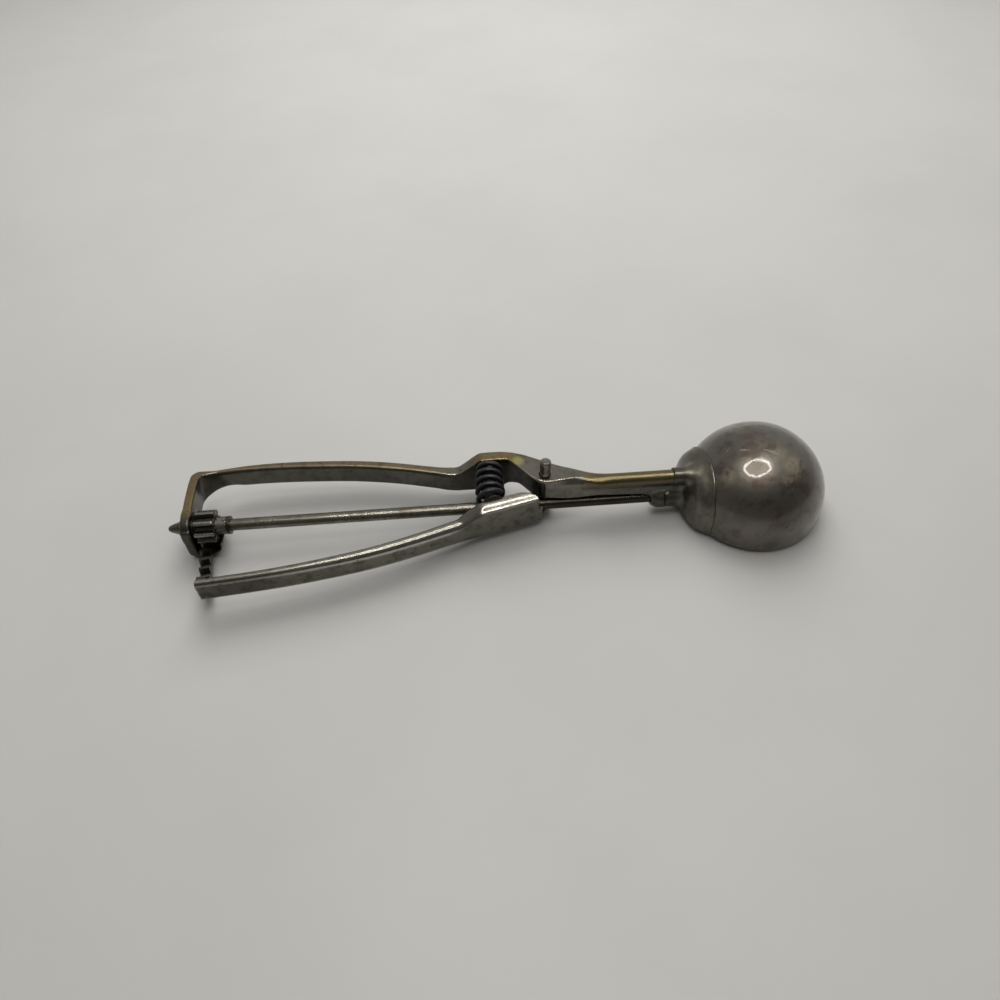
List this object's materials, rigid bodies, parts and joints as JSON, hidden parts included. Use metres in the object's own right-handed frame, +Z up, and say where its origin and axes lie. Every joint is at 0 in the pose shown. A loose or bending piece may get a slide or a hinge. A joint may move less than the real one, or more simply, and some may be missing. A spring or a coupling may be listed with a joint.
{
  "type": "ice cream scoop",
  "caption": "Squeeze-handle ice cream scoop: a sprung lever drives a rack and pinion that sweeps a scraper blade round the inside of a hemispherical bowl.",
  "frame": {"origin": "centre of the overall box, on the table the scoop lies on", "axes": "+X from the grips to the bowl, +Y from the squeeze lever to the fixed grip, +Z up, out of the crown of the bowl"},
  "size_m": [0.2669, 0.0608, 0.0342],
  "materials": {
    "plated": "worn nickel plate over cast metal, satin",
    "bowl_plate": "tarnished satin nickel plate",
    "lever_plate": "worn nickel plate, polished by the hand on top",
    "dark_steel": "blackened and oily",
    "spring_steel": "black, satin",
    "blade": "satin",
    "shaft_steel": "drawn rod, tarnished",
    "bronze": "plain bearing metal"
  },
  "bodies": {
    "frame": {"frame": "plated", "bowl": "bowl_plate", "bowl_saddle": "bowl_plate", "pivot_pin": "plated", "return_spring": "spring_steel", "frame_spring_peg": "plated", "rear_bush": "bronze", "rear_washer": "dark_steel", "front_bush": "bronze", "nose_stud": "plated"},
    "lever": {"squeeze_lever": "lever_plate", "rack": "dark_steel", "rack_pin": "dark_steel", "lever_spring_peg": "plated"},
    "shaft": {"scraper_shaft": "shaft_steel", "pinion": "dark_steel", "pinion_collar": "plated", "collar_pin": "dark_steel", "cone_nut": "plated", "scraper_hub": "plated", "hub_pin": "dark_steel", "scraper_blade": "blade", "blade_rivets": "dark_steel"}
  },
  "joints": [
    {"name": "lever_pivot", "type": "hinge", "parent": "frame", "child": "lever", "pos_m": [0.01844, 0.00645, 0.0164], "axis": [-0.0313, 0, -0.9995], "range_deg": [0, 7.29], "stiffness_Nm_per_rad": 3, "springref_deg": -8.59, "deforming": ["return_spring"]},
    {"name": "shaft_spin", "type": "hinge", "parent": "frame", "child": "shaft", "pos_m": [0.005, 0.00155, 0.00881], "axis": [0.9995, 0, -0.0313], "range_deg": [0, 180]}
  ],
  "couplings": [
    {"joint": "shaft_spin", "follows": "lever_pivot", "ratio": 24.696}
  ]
}
